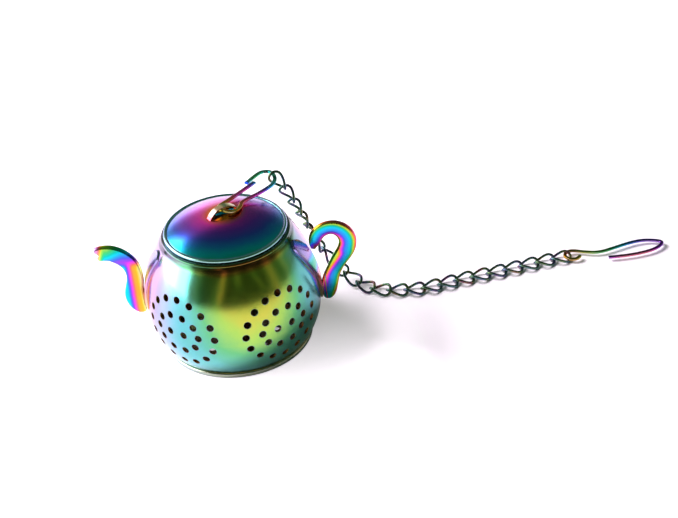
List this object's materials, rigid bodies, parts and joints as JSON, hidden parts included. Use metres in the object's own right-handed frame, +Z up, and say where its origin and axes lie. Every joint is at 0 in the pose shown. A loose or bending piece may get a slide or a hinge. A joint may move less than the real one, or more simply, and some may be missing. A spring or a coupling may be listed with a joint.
{
  "type": "tea infuser",
  "caption": "Teapot-shaped perforated steel tea infuser with a lift-off lid, a wire clip on the lid, a twisted-link chain and a cup hook.",
  "frame": {"origin": "centre of the pot's flat base, on the table", "axes": "+Z up along the pot's axis, +X towards the handle, -X towards the spout; the clip and chain lie on the +Y side and trail towards +X"},
  "size_m": [0.1405, 0.0468, 0.0369],
  "materials": {
    "pot": "rainbow ion-plated stainless sheet, satin gloss",
    "arms": "rainbow ion-plated stainless stamping, gloss",
    "lid": "rainbow ion-plated stainless sheet, purple to blue, satin gloss",
    "wire": "rainbow ion-plated stainless wire, dark, gloss"
  },
  "bodies": {
    "pot": {"pot_body": "pot", "base_plate": "pot", "spout": "arms", "handle": "arms"},
    "lid": {"lid_cover": "lid", "lid_plug_ring": "lid"},
    "clip": {"lid_clip": "wire"},
    "link_01": {"chain_link_01": "wire"},
    "link_02": {"chain_link_02": "wire"},
    "link_03": {"chain_link_03": "wire"},
    "link_04": {"chain_link_04": "wire"},
    "link_05": {"chain_link_05": "wire"},
    "link_06": {"chain_link_06": "wire"},
    "link_07": {"chain_link_07": "wire"},
    "link_08": {"chain_link_08": "wire"},
    "link_09": {"chain_link_09": "wire"},
    "link_10": {"chain_link_10": "wire"},
    "link_11": {"chain_link_11": "wire"},
    "link_12": {"chain_link_12": "wire"},
    "link_13": {"chain_link_13": "wire"},
    "link_14": {"chain_link_14": "wire"},
    "link_15": {"chain_link_15": "wire"},
    "link_16": {"chain_link_16": "wire"},
    "link_17": {"chain_link_17": "wire"},
    "link_18": {"chain_link_18": "wire"},
    "link_19": {"chain_link_19": "wire"},
    "link_20": {"chain_link_20": "wire"},
    "link_21": {"chain_link_21": "wire"},
    "link_22": {"chain_link_22": "wire"},
    "hook": {"end_hook": "wire"}
  },
  "joints": [
    {"name": "lid_lift", "type": "slide", "parent": "pot", "child": "lid", "axis": [0, 0, 1], "range_m": [0, 0.03]},
    {"name": "clip_swing", "type": "hinge", "parent": "lid", "child": "clip", "pos_m": [0.00014, -0.00031, 0.03579], "axis": [0.8425, -0.5388, 0], "range_deg": [0, 90]},
    {"name": "link_01_hang", "type": "hinge", "parent": "clip", "child": "link_01", "pos_m": [0.01147, 0.01894, 0.03261], "axis": [-0.2226, 0.9699, -0.0992], "range_deg": [-30, 12]},
    {"name": "link_02_bend", "type": "hinge", "parent": "link_01", "child": "link_02", "pos_m": [0.01381, 0.01833, 0.02909], "axis": [-0.2156, 0.9274, -0.3058], "range_deg": [-15, 20]},
    {"name": "link_03_bend", "type": "hinge", "parent": "link_02", "child": "link_03", "pos_m": [0.01528, 0.01841, 0.02593], "axis": [-0.9332, 0.1401, -0.3308], "range_deg": [-30, 30]},
    {"name": "link_04_bend", "type": "hinge", "parent": "link_03", "child": "link_04", "pos_m": [0.01708, 0.01896, 0.02108], "axis": [0.003, -0.9936, -0.1132], "range_deg": [-30, 20]},
    {"name": "link_05_bend", "type": "hinge", "parent": "link_04", "child": "link_05", "pos_m": [0.01816, 0.01947, 0.01781], "axis": [0.8342, -0.5006, 0.2313], "range_deg": [-30, 30]},
    {"name": "link_06_bend", "type": "hinge", "parent": "link_05", "child": "link_06", "pos_m": [0.01988, 0.0201, 0.01294], "axis": [0.351, 0.9049, 0.2406], "range_deg": [-30, 30]},
    {"name": "link_07_bend", "type": "hinge", "parent": "link_06", "child": "link_07", "pos_m": [0.02128, 0.02026, 0.00974], "axis": [-0.4554, 0.7872, -0.4158], "range_deg": [-30, 30]},
    {"name": "link_08_bend", "type": "hinge", "parent": "link_07", "child": "link_08", "pos_m": [0.02409, 0.0196, 0.00542], "axis": [-0.6558, -0.6826, -0.3226], "range_deg": [-30, 30]},
    {"name": "link_09_bend", "type": "hinge", "parent": "link_08", "child": "link_09", "pos_m": [0.02647, 0.01842, 0.00309], "axis": [-0.2671, -0.728, 0.6314], "range_deg": [-30, 30]},
    {"name": "link_10_bend", "type": "hinge", "parent": "link_09", "child": "link_10", "pos_m": [0.03029, 0.01542, 0.00124], "axis": [0.6488, 0.4425, 0.6191], "range_deg": [-30, 30]},
    {"name": "link_11_bend", "type": "hinge", "parent": "link_10", "child": "link_11", "pos_m": [0.03289, 0.01303, 0.00108], "axis": [0.2175, 0.7106, -0.6691], "range_deg": [-30, 30]},
    {"name": "link_12_bend", "type": "hinge", "parent": "link_11", "child": "link_12", "pos_m": [0.03786, 0.0115, 0.00108], "axis": [-0.2185, -0.7103, -0.6691], "range_deg": [-30, 30]},
    {"name": "link_13_bend", "type": "hinge", "parent": "link_12", "child": "link_13", "pos_m": [0.04134, 0.0112, 0.00108], "axis": [0.0412, -0.7419, 0.6692], "range_deg": [-30, 30]},
    {"name": "link_14_bend", "type": "hinge", "parent": "link_13", "child": "link_14", "pos_m": [0.04653, 0.01148, 0.00108], "axis": [-0.0399, 0.7422, 0.669], "range_deg": [-30, 30]},
    {"name": "link_15_bend", "type": "hinge", "parent": "link_14", "child": "link_15", "pos_m": [0.04991, 0.01236, 0.00108], "axis": [-0.2163, 0.711, -0.6691], "range_deg": [-30, 30]},
    {"name": "link_16_bend", "type": "hinge", "parent": "link_15", "child": "link_16", "pos_m": [0.05489, 0.01387, 0.00108], "axis": [0.2167, -0.7109, -0.6691], "range_deg": [-30, 30]},
    {"name": "link_17_bend", "type": "hinge", "parent": "link_16", "child": "link_17", "pos_m": [0.05827, 0.0147, 0.00108], "axis": [0.1607, -0.7256, 0.6691], "range_deg": [-30, 30]},
    {"name": "link_18_bend", "type": "hinge", "parent": "link_17", "child": "link_18", "pos_m": [0.06334, 0.01582, 0.00108], "axis": [-0.1605, 0.7256, 0.6691], "range_deg": [-30, 30]},
    {"name": "link_19_bend", "type": "hinge", "parent": "link_18", "child": "link_19", "pos_m": [0.06672, 0.01665, 0.00108], "axis": [-0.1874, 0.7191, -0.6691], "range_deg": [-30, 30]},
    {"name": "link_20_bend", "type": "hinge", "parent": "link_19", "child": "link_20", "pos_m": [0.07176, 0.01796, 0.00108], "axis": [0.1874, -0.7191, -0.6691], "range_deg": [-30, 30]},
    {"name": "link_21_bend", "type": "hinge", "parent": "link_20", "child": "link_21", "pos_m": [0.07512, 0.01884, 0.00108], "axis": [0.173, -0.7227, 0.6691], "range_deg": [-30, 30]},
    {"name": "link_22_bend", "type": "hinge", "parent": "link_21", "child": "link_22", "pos_m": [0.08018, 0.02005, 0.00108], "axis": [-0.173, 0.7227, 0.6691], "range_deg": [-30, 30]},
    {"name": "hook_swing", "type": "hinge", "parent": "link_22", "child": "hook", "pos_m": [0.08364, 0.02077, 0.00108], "axis": [-0.2092, 0.9779, 0], "range_deg": [-20, 20]}
  ]
}
